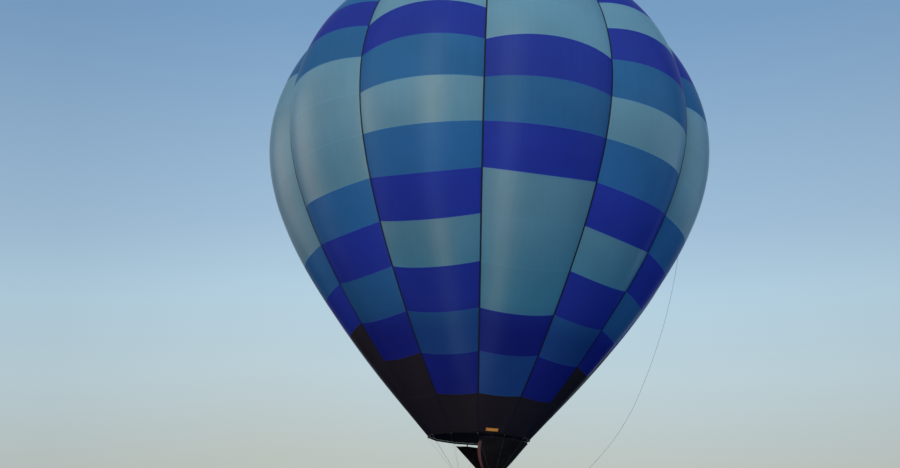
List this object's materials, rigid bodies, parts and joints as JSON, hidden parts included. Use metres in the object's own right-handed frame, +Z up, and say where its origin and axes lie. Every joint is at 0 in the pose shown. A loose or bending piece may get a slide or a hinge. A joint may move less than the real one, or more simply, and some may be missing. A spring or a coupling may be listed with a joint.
{
  "type": "hot air balloon",
  "caption": "Hot air balloon: gored cloth envelope with parachute valve, scoop, gimballed twin burner, load frame and wicker basket.",
  "frame": {"origin": "on the balloon's upright axis at the envelope's widest height, about the centre of its lift, which is the mount air", "axes": "+Z up along the balloon's axis, -Y the front of the balloon, +X to its right-hand side, where the scoop is"},
  "size_m": [16.9506, 16.9506, 22.6965],
  "materials": {
    "panel_cloth": "coated ripstop nylon, satin, in blue and pale aqua panels",
    "black_cloth": "coated flame resistant cloth, satin",
    "load_tape": "woven webbing, matt",
    "alloy": "satin",
    "steel_wire": "bright drawn",
    "burner_steel": "heat tinted",
    "brass": "satin",
    "lever_plastic": "moulded, matt",
    "nylon_rod": "matt",
    "leather": "semi matt",
    "wicker": "varnished cane",
    "plywood": "varnished",
    "rope": "braided"
  },
  "bodies": {
    "airframe": {"gore_01": "panel_cloth", "gore_02": "panel_cloth", "gore_03": "panel_cloth", "gore_04": "panel_cloth", "gore_05": "panel_cloth", "gore_06": "panel_cloth", "gore_07": "panel_cloth", "gore_08": "panel_cloth", "gore_09": "panel_cloth", "gore_10": "panel_cloth", "gore_11": "panel_cloth", "gore_12": "panel_cloth", "load_tape_cage": "load_tape", "crown_ring": "alloy", "mouth_band": "black_cloth", "scoop": "black_cloth", "flying_wires_1": "steel_wire", "flying_wires_2": "steel_wire", "flying_wires_3": "steel_wire", "flying_wires_4": "steel_wire", "karabiner_1": "steel_wire", "karabiner_2": "steel_wire", "karabiner_3": "steel_wire", "karabiner_4": "steel_wire", "load_frame": "alloy", "upright_rod_1": "nylon_rod", "upright_rod_2": "nylon_rod", "upright_rod_3": "nylon_rod", "upright_rod_4": "nylon_rod", "upright_sleeve_1": "leather", "upright_sleeve_2": "leather", "upright_sleeve_3": "leather", "upright_sleeve_4": "leather", "basket_body": "wicker", "basket_floor": "plywood", "basket_rim": "leather", "basket_hide": "leather", "runner_1": "plywood", "runner_2": "plywood", "runner_3": "plywood", "rope_handle_1": "rope", "rope_handle_2": "rope", "rope_handle_3": "rope", "rope_handle_4": "rope", "fuel_cylinder_1": "alloy", "cylinder_valve_1": "brass", "fuel_cylinder_2": "alloy", "cylinder_valve_2": "brass", "crown_line": "rope"},
    "parachute": {"parachute_valve": "panel_cloth"},
    "ring": {"gimbal_ring": "alloy"},
    "burner": {"burner_block": "brass", "burner_can_1": "burner_steel", "burner_can_2": "burner_steel", "burner_coil_1": "burner_steel", "burner_coil_2": "burner_steel", "valve_lever_1": "lever_plastic", "valve_lever_2": "lever_plastic"}
  },
  "joints": [
    {"name": "parachute_vent", "type": "slide", "parent": "airframe", "child": "parachute", "axis": [0, 0, -1], "range_m": [0, 1.2], "stiffness_N_per_m": 60, "springref_m": -1.5},
    {"name": "gimbal_roll", "type": "hinge", "parent": "airframe", "child": "ring", "pos_m": [0, 0, -13.12], "axis": [1, 0, 0], "range_deg": [-15, 15]},
    {"name": "burner_tilt", "type": "hinge", "parent": "ring", "child": "burner", "pos_m": [0, 0, -13.12], "axis": [0, 1, 0], "range_deg": [-15, 15]}
  ]
}
